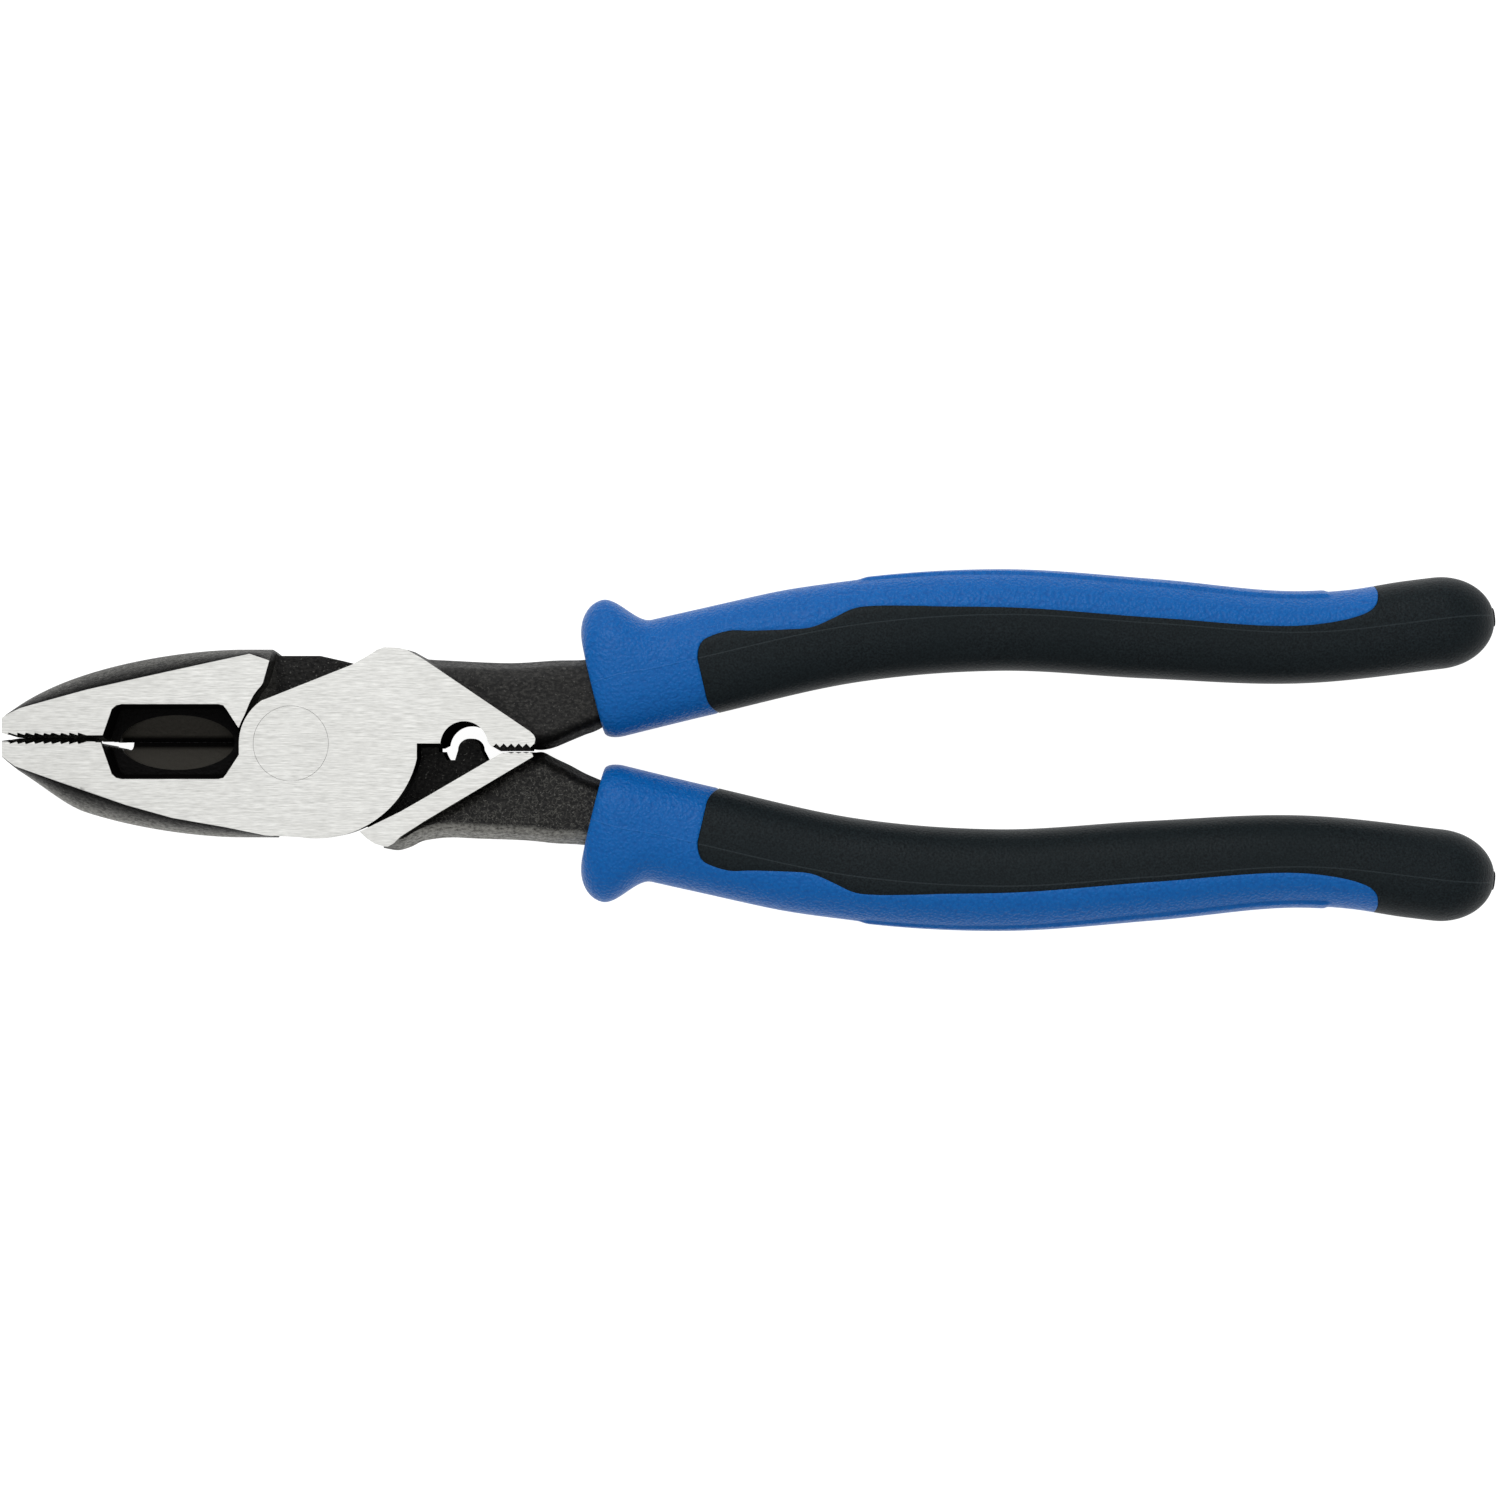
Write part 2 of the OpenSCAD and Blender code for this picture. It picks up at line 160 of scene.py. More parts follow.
def polygon(points, x, y):
    """Signed distance to a closed polygon."""
    p = np.array(points, float)
    best = np.full(np.broadcast(x, y).shape, 1e9)
    inside = np.zeros(best.shape, bool)
    for a, b in zip(p, np.roll(p, -1, axis=0)):
        ex, ey = b - a
        wx, wy = x - a[0], y - a[1]
        t = np.clip((wx * ex + wy * ey) / (ex * ex + ey * ey), 0, 1)
        best = np.minimum(best, (wx - ex * t) ** 2 + (wy - ey * t) ** 2)
        left = wx * ey < ex * wy if ey < 0 else wx * ey > ex * wy
        crosses = ((a[1] <= y) != (b[1] <= y)) & left
        inside ^= crosses
    return np.where(inside, -1, 1) * np.sqrt(best)


def circle(centre, r, x, y):
    return np.sqrt((x - centre[0]) ** 2 + (y - centre[1]) ** 2) - r


def slab(d, z, z0, z1):
    return np.maximum(d, np.maximum(z0 - z, z - z1))


def union(a, b, soft=0.0):
    """Union of two solids, with a fillet of about that radius."""
    if not soft:
        return np.minimum(a, b)
    h = np.maximum(soft - np.abs(a - b), 0) / soft
    return np.minimum(a, b) - h * h * soft / 4


def cut(a, b):
    return np.maximum(a, -b)


def notches(x, x0, count, pitch, depth):
    """Depth at x of a row of V-shaped notches."""
    u = (x - x0) / pitch
    return np.where((u > 0) & (u < count), depth * (1 - 2 * np.abs(u % 1 - 0.5)), 0)


# ---- Outlines of the head ----
#
# Each half is drawn with its own plate in front, its jaw towards -Y and its handle towards +Y.
# The lower jaw's half lies like that. The upper jaw's half is turned over on the X axis.

BOSS_END_X = -4.4
PLATE_TOP = [(BOSS_END_X, 6.95), (9.9, 12.65), (12.6, 14.2), (13.9, 15.05), (15, 15.4), (17.2, 15.3),
             (18.5, 15), (21, 13.6), (38.2, 1.95), (38.85, 1.35), (39.1, 0.75), (38.95, 0),
             (38.3, CRIMP_TOOTH_Y), (38.1, CRIMP_DEEP_Y)]
PLATE_CRIMP = [(33.4, CRIMP_DEEP_Y), (32.3, CRIMP_TOOTH_Y), (31.8, -0.2), (31.4, 0.4), (30, CRIMP_Y),
               (20.15, CRIMP_Y)]
PLATE = PLATE_TOP + PLATE_CRIMP + arc(RIM_C, RIM_R, -13, -99, 40) + [(-4, -14.7), (-8.3, -9), (-8.3, -2)]
UPPER_STRIP = [(11.6, 14.1), (13.2, 15.1)] + PLATE_TOP[4:] + PLATE_CRIMP + [(16, 8)]
LOWER_STRIP = [(11.0, 14.1), (17.5, 10.9), (21.7, 8.5), (33.5, 1.62), (34.2, STRIP_Y), (38.0, STRIP_Y),
               (38.6, 1.65), (38.75, 2.1), (21.4, 12.4), (17.5, 14.9), (16.4, 16.0), (15.5, 16.5),
               (14.8, 16.45), (13.4, 16), (12.2, 15.2)]
CLEAR = [(-8.4, -2.1), (-8, -3.2), (-7.5, -4.3), (-6.5, -6.7), (-5.9, -7.8), (-5.3, -8.6), (-4.75, -9.2),
         (-4.45, -9.7), (-3.45, -13.2), (-3.2, -20), (60, -20), (60, 25), (-3, 25), (-7.9, 4)]
RECESS = [(-11.4, 0.2), (-9.5, 5.2), (-8.8, 5.8), (-7.9, 6), (7.5, 6), (8.3, 5.8), (8.8, 5.2),
          (10.8, 2.1), (10.8, -2.1), (8.8, -5.2), (8.3, -5.8), (7.5, -6), (-7.9, -6), (-8.8, -5.8),
          (-9.5, -5.2)]
LOWER_FACE = [(-46.4, 1.9), (-44.1, 3.6), (-34.7, 6.8), (-26.4, 9.7), (-19, 11.8), (-10.6, 13.3),
              (-4, 14.7), (0, 15)]
UPPER_FACE = [(-46.4, 3.9), (-45.7, 4.45), (-43.3, 5.6), (-32.6, 8.5), (-19.6, 11.4), (-6.6, 14.3),
              (-3.2, 13.1), (0, 12)]
TAPE_SLOT = [(-33.5, 1), (-33.5, 0.15), (-26.7, -1.1), (-26.4, -0.95), (-26.3, -0.6), (-26.3, 1)]
# The slot's outer end leans outwards through the jaw
SLOT_X = -30.2
SLOT_LEAN = 0.17
# The edge beside the nest leans inwards under the plate
EDGE_LEAN = 0.08
NIB_FOOT = [(NIB_C[0] - NIB_R, -NIB_C[1]), (25.4, 3.4), (25.4, 5), (31.4, 5), (30.9, 3),
            (NIB_C[0] + NIB_R, -NIB_C[1])]

# Where a jaw ends beside the joint, and how far the room for the other half's plate reaches
HEEL_X = -2.8
REACH = 13
# The stretch of the ground strip that has fine teeth, and the corner of the back plate cut away there
STRIP_EDGE_X = (32.2, 38.3)
FINE_CLEAR = (31.1, 3.4)
# The crimper's ledge: its front end, and where its slanted end starts
LEDGE_X = (20.2, 22.9)

HEAD_HALF_W = 15.2
WAIST_X = -9.0
SLIM_X = -34
SLIM_L = 10
NOSE_GAP_X = -44.2
NOSE_L = -JAW_X - 7.1
# Outer and inner edge of each neck, above the handles' own axis
UPPER_NECK = (
    [(13, 15), (17, 15.8), (20.7, 14.9), (24.8, 14.6), (34.5, 14.2), (41.8, 14.6), (47.4, 14.8),
     (54, 16), (62, 17.8)],
    [(13, 14), (17, 12.4), (21, 10), (31, 4.6), (35, 1.9), (37.5, 0.6), (38.8, 0.2), (40.1, 0.2),
     (41.8, 0.6), (44.2, 1.6), (46.6, 2.6), (49.1, 3.6), (54, 6.6), (62, 8.5)],
)
LOWER_NECK = (
    [(13, 15.2), (15, 15.7), (16.7, 15.9), (18.5, 15.4), (20.7, 14.4), (24.8, 13.9), (29.6, 14.1),
     (36.9, 14.4), (41.8, 14.9), (46.6, 15.2), (54, 16.2), (62, 17.8)],
    [(13, 14), (17, 12.4), (21, 10), (31, 4.6), (35, 1.9), (37.5, 0.5), (38.8, 0.2), (40.0, 0.22),
     (41.8, 1.15), (44.2, 2.3), (46.6, 3.6), (49.1, 4.7), (54, 6.8), (62, 8.5)],
)
NECK_T = [(14, 6.3), (24, 5.9), (35, 5.5), (48, 5.2), (62, 4.8)]
NECK_X = (14.2, 61.0)


class Half:
    """What differs between the two forgings, in each one's own frame."""

    def __init__(self, face, strip, neck, side, rim_y, nose_slope, slim, toe):
        self.face_x, self.face_y = np.array(face).T
        self.strip = strip
        self.neck_outer, self.neck_inner = neck
        self.rim_y = rim_y
        self.nose_slope = nose_slope
        self.slim = slim
        self.turned = side < 0
        self.bite = BITE_Y * side
        self.cutter = CUTTER_Y * side
        self.recess_y = RECESS_C[1] * side
        self.axis = AXIS_Y * side
        self.toe = toe


HALVES = {
    "lower_jaw_half": Half(LOWER_FACE, UPPER_STRIP, UPPER_NECK, 1, 15.1, 0.21, 1.7, 0.0),
    "upper_jaw_half": Half(UPPER_FACE, LOWER_STRIP, LOWER_NECK, -1, 14.1, 0.34, 0.0, -LOWER_TOE),
}


# ---- The forgings ----


def jaw(x, y, z, half):
    """A jaw: two ground faces, and a forged side that swells between them."""
    t = np.abs(z - MID_Z) / MID_Z
    ground = np.interp(x, half.face_x, half.face_y)
    back = np.clip((WAIST_X - x) / NOSE_L, 0, 0.999)
    slim = half.slim * ramp((SLIM_X - x) / SLIM_L)
    forged = np.maximum(HEAD_HALF_W * np.sqrt(1 - back ** 1.7) - slim, ground + 0.2)
    side = -y - (ground + (forged - ground) * (1 - t ** 1.9))
    nose = JAW_X + 0.4 * t ** 3 - x
    opened = half.nose_slope * np.maximum(NOSE_GAP_X - x, 0)
    grip = y - half.bite + BITE_GAP / 2 + opened - 0.02 * (z - MID_Z)
    cutter = y - half.cutter + 0.01 - 0.1 * np.clip(z - MID_Z, -0.4, 0.4)
    bite = grip + (cutter - grip) * ramp((x - CUTTER_X) / 0.8)
    heel = x - HEEL_X + np.maximum(-y - half.rim_y, 0)
    return np.maximum(np.maximum(side, nose), np.maximum(bite, heel))


def tooth_bevel(x, y, z, half):
    """The gripping edge beside each face, ground back and cut with saw teeth."""
    depth = np.minimum(HEAD_T - z, z)
    u = (x - TOOTH_X) / TOOTH_PITCH
    saw = np.where((u > 0) & (u < TOOTH_N), TOOTH_D * (1 - u % 1), 0)
    level = half.bite - 0.5 + depth * 0.13 - saw * np.clip(1.6 - depth * 0.4, 0, 1)
    return np.maximum(level - y, x - BAND_END_X)


def recess(x, y, z, half):
    """The cutters' recess on both faces, with the hollow grind that sharpens them."""
    depth = np.minimum(HEAD_T - z, z)
    rim = polygon(RECESS, x - RECESS_C[0], y - half.recess_y)
    pocket = np.maximum(rim + 0.16 * depth, depth - RECESS_FLOOR)
    away = np.abs(y - half.cutter)
    lens_x, lens_y = LENS_R
    lens = (np.sqrt(((x - RECESS_C[0] - 0.3) / lens_x) ** 2 + (away / lens_y) ** 2) - 1) * lens_y
    cheek = MID_Z - 0.2 - np.where(away < 1.1, away * 1.0, 1.1 + (away - 1.1) * 0.62)
    return np.minimum(pocket, np.maximum(lens, depth - cheek))


def neck(x, y, z, half):
    """The forged neck and the tang: flat above and below, with drafted, rounded sides."""
    shift = half.axis + half.toe * (x - GRIP_X0)
    outer = profile(half.neck_outer, x) + shift
    inner = profile(half.neck_inner, x) + shift
    up = np.abs(z - MID_Z)
    half_t = profile(NECK_T, x)
    draft = 0.32 * np.maximum(up - 1, 0)
    across = np.abs(y - (outer + inner) / 2) - (outer - inner) / 2 + draft
    r = 1.8
    a, b = across + r, up - half_t + r
    body = np.sqrt(np.maximum(a, 0) ** 2 + np.maximum(b, 0) ** 2) + np.minimum(np.maximum(a, b), 0) - r
    return np.maximum(body, np.maximum(NECK_X[0] - x, x - NECK_X[1]))


def plate(x, y, half):
    """Outline of a half's plate, which laps the other one."""
    boss = np.maximum(circle((0, 0), BOSS_R, x, y), x - BOSS_END_X)
    outline = np.minimum(boss, polygon(PLATE, x, y))
    if half.turned:
        rim_x, rim_y = np.array(BACK_RIM).T
        outline = np.maximum(outline, -np.interp(x, rim_x, rim_y) - y)
        outline = cut(outline, np.maximum(20 - x, y - CRIMP_GAP))
        outline = cut(outline, np.maximum(STEP_X - STEP_GAP - x, y - STRIP_Y))
        outline = cut(outline, np.maximum(FINE_CLEAR[0] - x, y - FINE_CLEAR[1]))
        hole = circle((NEST_C[0], -NEST_C[1]), NEST_R + 0.35, x, y)
        outline = cut(outline, np.maximum(hole, np.minimum(y - 2.7, NIB_C[0] - x)))
        nib = np.minimum(circle((NIB_C[0], -NIB_C[1]), NIB_R, x, y), polygon(NIB_FOOT, x, y))
        outline = np.minimum(outline, nib)
    return outline


def room(x, y, z, half):
    """What a half leaves free for the other one's plate, as it turns."""
    reach = np.maximum(x - REACH, y - REACH) if half.turned else x - REACH
    rim = circle((RIM_C[0], -RIM_C[1]), RIM_R + EDGE_GAP, x, y)
    outline = np.maximum(polygon(CLEAR, x, y), np.minimum(reach, rim))
    outline = np.minimum(outline, circle((0, 0), BOSS_R + EDGE_GAP, x, y))
    return np.maximum(outline, z - MID_Z - LAP_GAP / 2)


def forging(x, y, z, half):
    """One whole forging."""
    body = union(jaw(x, y, z, half), slab(plate(x, y, half), z, MID_Z + LAP_GAP / 2, HEAD_T))
    strip_top = HEAD_T if half.turned else MID_Z + 1
    body = union(body, slab(polygon(half.strip, x, y), z, 0, strip_top))
    body = union(body, neck(x, y, z, half), 0.25)
    body = np.maximum(body, np.maximum(-z, z - HEAD_T))
    body = cut(body, room(x, y, z, half))
    body = cut(body, recess(x, y, z, half))
    body = cut(body, tooth_bevel(x, y, z, half))
    body = cut(body, circle((0, 0), RIVET_R + RIVET_PLAY, x, y))
    if half.turned:
        edge = STRIP_Y + notches(x, FINE_X, FINE_N, FINE_PITCH, STRIP_FINE_D)
        return cut(body, np.maximum(y - edge, np.maximum(STRIP_EDGE_X[0] - x, x - STRIP_EDGE_X[1])))
    edge = CRIMP_TOOTH_Y + notches(x, FINE_X, FINE_N, FINE_PITCH, CRIMP_FINE_D)
    depth = np.minimum(HEAD_T - z, z)
    body = cut(body, np.maximum(np.maximum(y - edge, FINE_X - x), depth - 2.5))
    under = HEAD_T - z
    across = np.maximum(CRIMP_Y - EDGE_LEAN * under - y, y - 1)
    ledge = np.maximum(np.maximum(LEDGE_X[0] - x, x - LEDGE_X[1] - 2 * (y + 1.1)), across)
    low = np.where(x < STEP_X, MID_Z + LAP_GAP / 2, 0)
    body = union(body, np.maximum(ledge, np.maximum(low - z, z - HEAD_T)))
    body = cut(body, np.maximum(polygon(TAPE_SLOT, x, y), SLOT_X - SLOT_LEAN * under - x))
    return cut(body, circle(NEST_C, NEST_R, x - 0.01 * under, y + 0.035 * under) + 0.012 * under)


# ---- Meshing ----


def contour(solid, low, high, step):
    """Vertices and quads of a solid's surface. Each vertex sits where the surfaces near it meet."""
    axes = [np.arange(a, b + step, step) for a, b in zip(low, high)]
    counts = [len(a) for a in axes]
    x, y, z = np.meshgrid(*axes, indexing="ij", sparse=True)
    field = np.broadcast_to(solid(x, y, z), counts).astype(np.float32)
    inside = field < 0
    crossings, normals, owners, quads_of = [], [], [], []
    for axis in range(3):
        here = [slice(None)] * 3
        there = [slice(None)] * 3
        here[axis], there[axis] = slice(0, -1), slice(1, None)
        changed = inside[tuple(here)] != inside[tuple(there)]
        index = np.argwhere(changed)
        u, v = (axis + 1) % 3, (axis + 2) % 3
        keep = ((index[:, u] > 0) & (index[:, v] > 0) & (index[:, u] < counts[u] - 1)
                & (index[:, v] < counts[v] - 1))
        index = index[keep]
        start = np.stack([axes[k][index[:, k]] for k in range(3)], axis=1)
        ends = start.copy()
        ends[:, axis] += step
        f0 = field[tuple(index.T)].astype(float)
        shifted = index.copy()
        shifted[:, axis] += 1
        f1 = field[tuple(shifted.T)].astype(float)
        going_in = f1 < f0
        for _ in range(3):
            mix = np.clip(f0 / np.where(f0 == f1, 1, f0 - f1), 0.02, 0.98)[:, None]
            point = start + (ends - start) * mix
            f = solid(*point.T)
            same = (f < 0) == (f0 < 0)
            start, f0 = np.where(same[:, None], point, start), np.where(same, f, f0)
            ends, f1 = np.where(same[:, None], ends, point), np.where(same, f1, f)
        mix = np.clip(f0 / np.where(f0 == f1, 1, f0 - f1), 0, 1)[:, None]
        point = start + (ends - start) * mix
        slope = np.empty_like(point)
        for k in range(3):
            nudge = np.zeros(3)
            nudge[k] = step * 0.02
            slope[:, k] = solid(*(point + nudge).T) - solid(*(point - nudge).T)
        slope /= np.maximum(np.linalg.norm(slope, axis=1), 1e-12)[:, None]
        corners = []
        for du, dv in ((0, 0), (-1, 0), (-1, -1), (0, -1)):
            cell = index.copy()
            cell[:, u] += du
            cell[:, v] += dv
            corners.append(np.ravel_multi_index(cell.T, counts))
        corners = np.stack(corners, axis=1)
        corners[~going_in] = corners[~going_in][:, ::-1]
        quads_of.append(corners)
        crossings.append(np.repeat(point, 4, axis=0))
        normals.append(np.repeat(slope, 4, axis=0))
        owners.append(corners.ravel())
    crossings, normals, owners = np.vstack(crossings), np.vstack(normals), np.concatenate(owners)
    quads_of = np.vstack(quads_of)
    cells, owner = np.unique(owners, return_inverse=True)
    n = len(cells)
    count = np.bincount(owner, minlength=n)
    sums = [np.bincount(owner, crossings[:, k], n) for k in range(3)]
    middle = np.stack(sums, axis=1) / count[:, None]
    away = np.einsum("ij,ij->i", normals, crossings - middle[owner])
    pull = 0.08
    matrix = np.zeros((n, 3, 3))
    target = np.zeros((n, 3))
    for i in range(3):
        target[:, i] = np.bincount(owner, normals[:, i] * away, n)
        for j in range(3):
            product = np.bincount(owner, normals[:, i] * normals[:, j], n)
            matrix[:, i, j] = product + (pull if i == j else 0)
    offset = np.linalg.solve(matrix, target[:, :, None])[:, :, 0]
    offset = np.clip(offset, -step * 0.75, step * 0.75)
    return middle + offset, np.searchsorted(cells, quads_of)


def make_mesh(name, points, faces, material):
    mesh = bpy.data.meshes.new(name)
    mesh.from_pydata([tuple(p) for p in np.asarray(points) * MM], [], [tuple(f) for f in faces])
    mesh.materials.append(material)
    piece = bpy.data.objects.new(name, mesh)
    bpy.context.scene.collection.objects.link(piece)
    return piece


# ---- The grips ----

GUARD_TOP = 4.6
GUARD_FALL = 6.8
GUARD_RISE = 5.0
HALF_T = 7.7
BULB_L = 9.0
COLLAR_L = 17.0
COVER_END = 127.0
COVER_T = 1.5
CORE_SINK = COVER_T + 0.02
CORE_START = 0.9
SEAM_ANGLE = math.radians(87)
GROOVE = 0.14
# Exponent of the grip's section: 1 is an ellipse, less is squarer
ROUNDNESS = 0.85
# Keeps the skin inside the frame's box
SKIN_SINK = 0.02

# Half of the angle that the coloured cover wraps round the grip, in degrees, past the collar
COVER_EDGE = [(17, 88), (17.6, 78), (18.9, 69.5), (22.7, 66.5), (26.4, 73), (31.6, 79.8), (35.4, 82.5),
              (38.9, 77.5), (42.3, 70), (45.3, 69.7), (52, 74.5), (59.3, 78.5), (77, 81.5), (107, 81),
              (118, 77.7), (123.7, 71), (126, 60), (126.8, 42), (127, 20)]
# Half of the angle of the raised panel along the cover's outer side
PANEL_EDGE = [(40, 13), (50, 17), (75, 24), (97, 29), (125, 29)]
PANEL_S = (43.5, 119.5)
PANEL_RISE = 0.3


def spine(x):
    return smooth(SPINE_Y, (x - SPINE_X0) / SPINE_PITCH)


def half_widths(s):
    """Half-widths of a grip outwards, inwards and across, at distance s from its front."""
    w = smooth(GRIP_W, (GRIP_X0 + s - SPINE_X0) / SPINE_PITCH)
    lip = np.sqrt(1 - (1 - np.clip(s / GUARD_TOP, 0, 1)) ** 2)
    fall = 0.5 + 0.5 * np.cos(np.pi * np.clip((s - GUARD_TOP) / GUARD_FALL, 0, 1))
    near = s < GUARD_TOP
    outward = np.where(near, 7.5 + (w + GUARD_RISE - 7.5) * lip, w + GUARD_RISE * fall)
    inward = 7.4 + (w - 7.4) * np.sqrt(1 - (1 - np.clip(s / 3, 0, 1)) ** 2)
    settle = np.clip((s - GUARD_TOP) / GUARD_FALL, 0, 1)
    across = np.where(near, 6.8 + 1.2 * lip, 8 - (8 - HALF_T) * settle)
    tail = np.clip((s - GRIP_L + BULB_L) / BULB_L, 0, 1)
    bulb = np.sqrt(1 - tail * tail)
    return outward * bulb, inward * bulb, across * bulb


def grip_point(u, a, inset):
    """Points of the upper grip: u along it, a round it from its outer side, sunk by an inset."""
    turn = np.degrees(np.abs((a + np.pi) % (2 * np.pi) - np.pi))
    s = u + 1.3 * ramp((turn - 130) / 50) * np.exp(-((u - COLLAR_L) / 6) ** 2)
    outward, inward, across = half_widths(s)
    panel = profile(PANEL_EDGE, s)
    along = ramp((s - PANEL_S[0]) / 2) * ramp((PANEL_S[1] - s) / 1.2)
    raised = ramp((panel - turn) / 3 + 0.5) * along
    line = 0.12 * np.exp(-((turn - panel - 3) / 1.6) ** 2) * along
    beside = ramp((75 - turn) / 35) * ramp((s - 30) / 12) * ramp((132 - s) / 9)
    sink = PANEL_RISE * (1 - raised) * beside + line
    skin = np.where(np.asarray(inset) < 1, -sink - SKIN_SINK, 0) - inset
    c, d = np.cos(a), np.sin(a)
    v = (np.where(c > 0, outward, inward) + skin) * np.sign(c) * np.abs(c) ** ROUNDNESS
    w = (across + skin) * np.sign(d) * np.abs(d) ** ROUNDNESS
    x = GRIP_X0 + s
    tilt = np.arctan(spine(x + 0.5) - spine(x - 0.5))
    return np.stack([x - v * np.sin(tilt), spine(x) + v * np.cos(tilt), MID_Z + w], axis=-1)


def grip_stations():
    """Distances of the rings of a grip's mesh; they are closer where its shape turns quickly."""
    lip = GUARD_TOP * (1 - np.cos(np.linspace(0, np.pi / 2, 14)))
    bulb = GRIP_L - BULB_L + BULB_L * np.sin(np.linspace(0, np.pi / 2, 22))
    parts = [lip, [CORE_START], np.arange(5.0, 16.5, 0.45),
             COLLAR_L + np.array([-0.3, 0, 0.12, 0.3, 0.55]),
             np.arange(18.0, 42, 0.6), np.arange(42.0, 47, 0.35), np.arange(47.0, 117, 0.9),
             np.arange(117.0, 125.6, 0.4), np.arange(125.7, 126.95, 0.15),
             COVER_END + np.array([0, 0.3, 0.6]), np.arange(128.5, GRIP_L - BULB_L - 0.4, 1), bulb]
    return np.unique(np.round(np.concatenate(parts), 4))


COVER_N = 72
BARE_N = 64


def grip_grid():
    """Rings and columns of a grip's mesh. Two columns follow the edge of the coloured cover."""
    u = grip_stations()
    edge = np.radians(profile(COVER_EDGE, np.clip(u, COLLAR_L, COVER_END)))
    cover = edge[:, None] * np.linspace(-1, 1, COVER_N + 1)[None, :-1]
    bare = edge[:, None] + (2 * np.pi - 2 * edge[:, None]) * np.linspace(0, 1, BARE_N + 1)[None, :-1]
    a = np.hstack([cover, bare])
    return np.broadcast_to(u[:, None], a.shape), a


def is_blue(k_u, j):
    """Whether the face that starts at ring distance k_u and column j belongs to the coloured cover."""
    return (k_u < COLLAR_L - 1e-6) | ((j < COVER_N) & (k_u < COVER_END - 1e-6))


def parting_distance(u, a):
    """Distance across the grip from the mould's parting line, on its front and back."""
    outward, _, _ = half_widths(u)
    c = np.cos(a)
    return outward * (np.sign(c) * np.abs(c) ** ROUNDNESS - math.cos(SEAM_ANGLE) ** ROUNDNESS)


def grip_pieces(name, side, materials):
    """Makes a grip's core and its coloured overmould, for the upper (1) or the lower (-1) handle."""
    u, a = grip_grid()
    rings, columns = u.shape
    k, j = np.meshgrid(np.arange(rings - 1), np.arange(columns), indexing="ij")
    after = (j + 1) % columns
    corners = [k * columns + j, (k + 1) * columns + j, (k + 1) * columns + after, k * columns + after]
    quads = np.stack(corners, axis=-1).reshape(-1, 4)
    blue = is_blue(u[:-1], j).ravel()
    beside = np.zeros((rings * columns, 2), bool)
    for colour, mask in enumerate((blue, ~blue)):
        beside[np.unique(quads[mask]), colour] = True
    groove = np.where(beside.all(axis=1), GROOVE, 0).reshape(u.shape)
    shift = np.array([0, AXIS_Y, 0])

    def place(points):
        turned = points.reshape(-1, 3) * [1, side, 1]
        if side < 0:
            turned[:, 1] += LOWER_TOE * (turned[:, 0] - GRIP_X0)
        return turned + shift

    outer = place(grip_point(u, a, groove))
    under = place(grip_point(u, a, np.full(u.shape, COVER_T)))
    sunk = place(grip_point(u, a, np.full(u.shape, CORE_SINK)))
    seam = np.where((groove > 0) | (u > GRIP_L - 0.8), 9.0, parting_distance(u, a)).ravel()
    cover_faces = quads[blue]
    cover = closed_shell(outer, under, cover_faces, [])
    bare = quads[~blue]
    started = cover_faces[u.ravel()[cover_faces[:, 0]] >= CORE_START - 1e-6]
    core = closed_shell(outer, sunk, bare, started)
    over_piece = grip_mesh(name + "_overmould_skin", cover, np.tile(seam, 2), materials[0])
    core_piece = grip_mesh(name + "_core_skin", core, np.tile(seam, 2), materials[1])
    return core_piece, over_piece


def closed_shell(outer, inner, on_outer, on_inner):
    """Points and faces of a skin that lies partly on an outer surface and partly on an inner one.

    With on_inner empty, the inner surface backs the whole skin. The edges where the two
    surfaces meet are closed by walls.
    """
    n = len(outer)
    faces = [on_outer]
    if len(on_inner):
        faces.append(np.asarray(on_inner) + n)
    else:
        faces.append(on_outer[:, ::-1] + n)
    edges = np.stack([on_outer, np.roll(on_outer, -1, axis=1)], axis=-1).reshape(-1, 2)
    key = np.sort(edges, axis=1) @ [n, 1]
    _, index, count = np.unique(key, return_index=True, return_counts=True)
    rim = edges[index[count == 1]]
    faces.append(np.stack([rim[:, 1], rim[:, 0], rim[:, 0] + n, rim[:, 1] + n], axis=1))
    return np.vstack([outer, inner]), np.vstack(faces)


def grip_mesh(name, shell, seam, material):
    points, faces = shell
    used, compact = np.unique(faces, return_inverse=True)
    piece = make_mesh(name, points[used], compact.reshape(faces.shape), material)
    attribute = piece.data.attributes.new("seam", "FLOAT", "POINT")
    attribute.data.foreach_set("value", seam[used].astype(np.float32))
    tidy(piece, 50)
    return piece


def tidy(piece, sharp_degrees):
    """Merges doubled points, closes a mesh's holes and marks its sharp edges."""
    work = bmesh.new()
    work.from_mesh(piece.data)
    bmesh.ops.remove_doubles(work, verts=work.verts, dist=1e-7)
    open_edges = [e for e in work.edges if e.is_boundary]
    if open_edges:
        bmesh.ops.holes_fill(work, edges=open_edges)
    bmesh.ops.recalc_face_normals(work, faces=work.faces)
    work.to_mesh(piece.data)
    work.free()
    piece.data.polygons.foreach_set("use_smooth", [True] * len(piece.data.polygons))
    piece.data.set_sharp_from_angle(angle=math.radians(sharp_degrees))


# ---- Steel pieces ----


